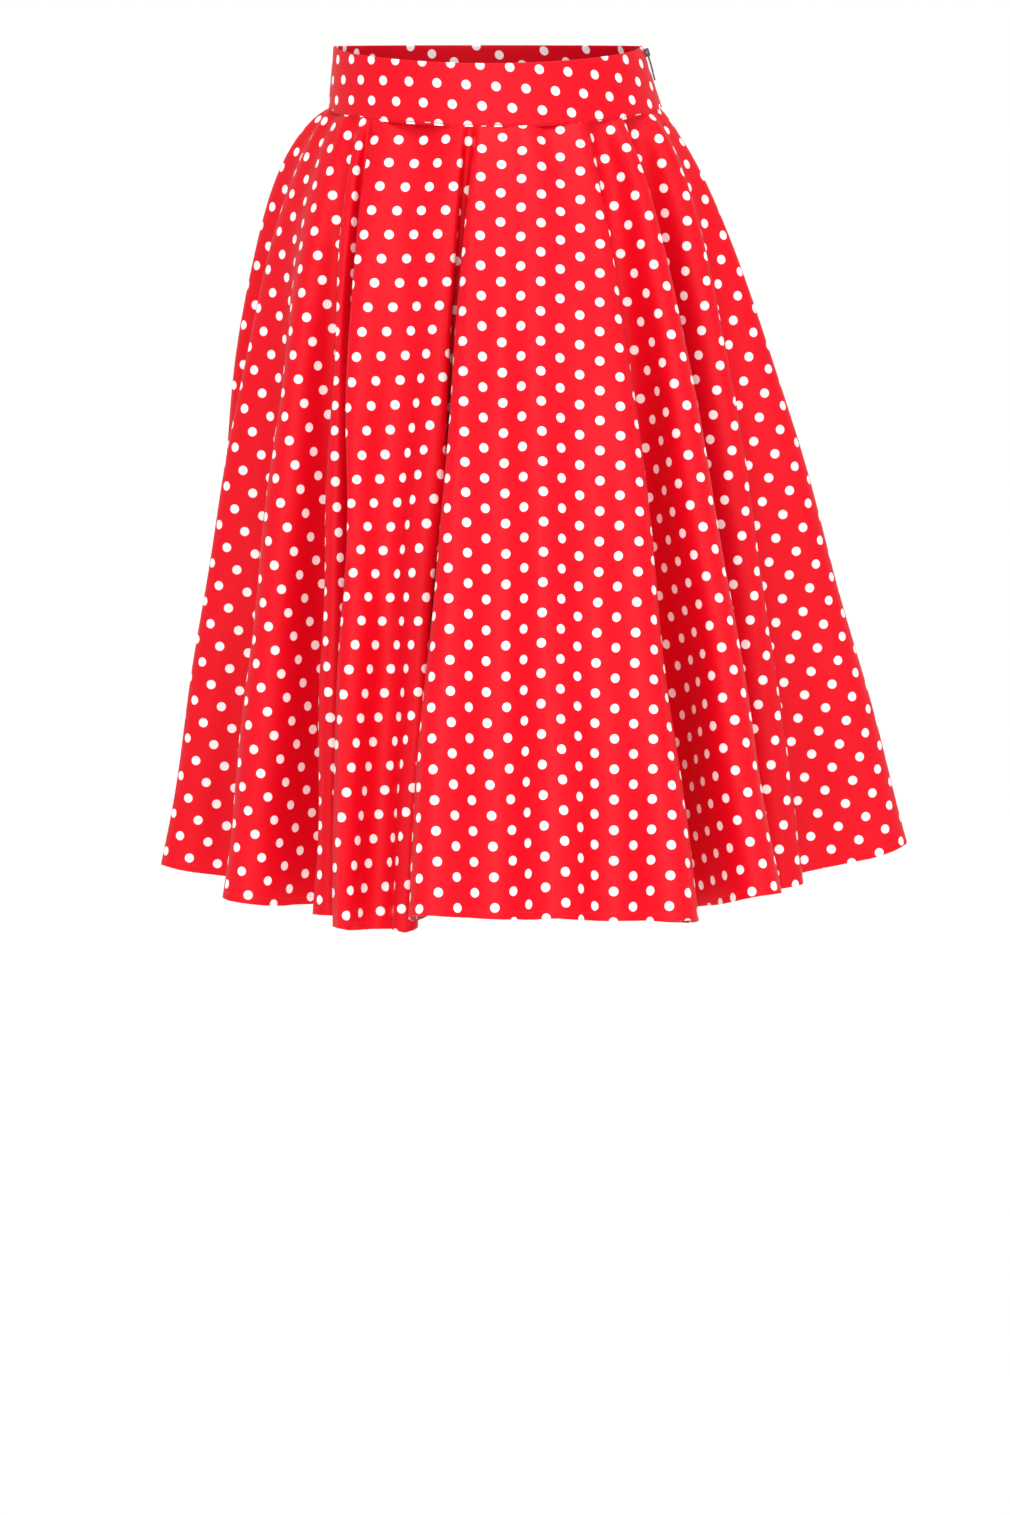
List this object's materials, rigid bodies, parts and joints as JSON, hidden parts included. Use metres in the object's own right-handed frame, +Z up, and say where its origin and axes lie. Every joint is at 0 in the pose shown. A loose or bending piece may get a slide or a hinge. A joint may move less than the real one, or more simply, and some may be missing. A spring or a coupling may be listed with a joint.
{
  "type": "circle skirt",
  "caption": "Full-circle skirt with a contoured waistband, deep soft folds, a concealed side zip and a printed dot pattern, standing in its worn shape.",
  "frame": {"origin": "middle of the waistband, on the upright axis through the centre of its seam with the skirt, where the wearer's waist holds it", "axes": "+Z up, -Y the front, +X the wearer's left, where the zip is"},
  "size_m": [0.6266, 0.608, 0.7198],
  "materials": {
    "printed_cotton": "bright red cotton sateen printed with white dots, soft sheen",
    "zip_tape": "red woven tape",
    "zip_metal": "dark enamel, semi-gloss"
  },
  "bodies": {
    "skirt": {"front_panel": "printed_cotton", "back_panel": "printed_cotton", "waistband_front": "printed_cotton", "waistband_back": "printed_cotton", "zip_tape": "zip_tape", "zip_slider": "zip_metal"},
    "pull": {"zip_pull": "zip_metal"}
  },
  "joints": [
    {"name": "pull_swing", "type": "hinge", "parent": "skirt", "child": "pull", "pos_m": [0.12622, 0, 0.01986], "axis": [0, -1, 0], "range_deg": [0, 150]}
  ]
}
